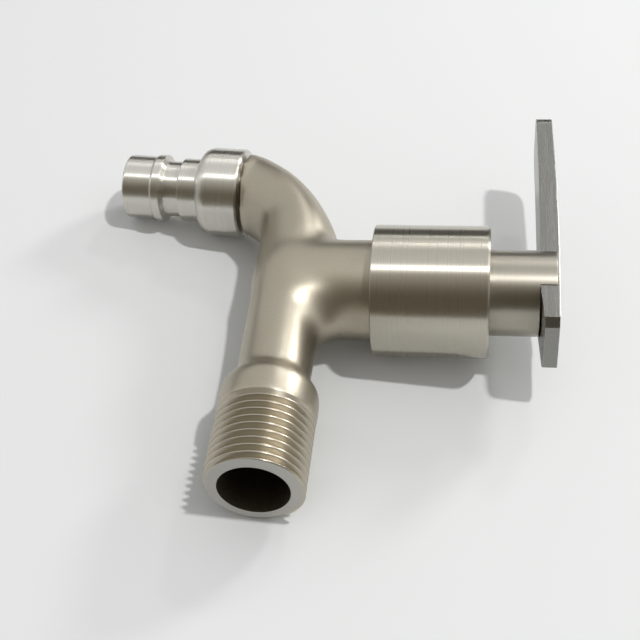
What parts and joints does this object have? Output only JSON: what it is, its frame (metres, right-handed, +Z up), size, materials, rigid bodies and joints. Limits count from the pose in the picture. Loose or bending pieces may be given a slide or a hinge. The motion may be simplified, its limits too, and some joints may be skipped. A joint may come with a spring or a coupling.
{
  "type": "washing machine tap",
  "caption": "Wall tap for a washing machine: threaded inlet, curved spout with a grooved hose nozzle, and a lever that turns a quarter turn to open.",
  "frame": {"origin": "centre of the inlet's open end, on the inlet's axis", "axes": "+Y along the inlet towards the wall, +Z up along the cartridge towards the lever, -Y the side that the spout and the closed lever point to"},
  "size_m": [0.0296, 0.112, 0.1053],
  "materials": {
    "cast_stainless": "cast and blasted, satin",
    "turned_stainless": "turned, fine lines round the axis",
    "brushed_stainless": "brushed flat bar",
    "spring_steel": "plain",
    "cartridge_brass": "turned",
    "black_rubber": "moulded",
    "acetal": "moulded",
    "fibre_gasket": "pressed fibre",
    "alumina": "lapped ceramic"
  },
  "bodies": {
    "tap": {"tap_body": "cast_stainless", "hose_nozzle": "turned_stainless", "nozzle_gasket": "black_rubber", "bonnet_sleeve": "turned_stainless", "sleeve_o_ring": "black_rubber", "guide_bush": "acetal", "cartridge_housing": "cartridge_brass", "housing_gasket": "fibre_gasket", "seat_seal": "black_rubber", "seal_support_ring": "acetal", "fixed_disc": "alumina"},
    "handle": {"moving_disc": "alumina", "stem": "cartridge_brass", "stem_o_ring_lower": "black_rubber", "stem_o_ring_upper": "black_rubber", "thrust_washer": "acetal", "stop_ring": "cartridge_brass", "retaining_clip": "spring_steel", "handle_hub": "turned_stainless", "lever_plate": "brushed_stainless", "grub_screw": "spring_steel"}
  },
  "joints": [
    {"name": "handle_turn", "type": "hinge", "parent": "tap", "child": "handle", "pos_m": [0, -0.0562, 0.045], "axis": [0, 0, 1], "range_deg": [0, 90]}
  ]
}
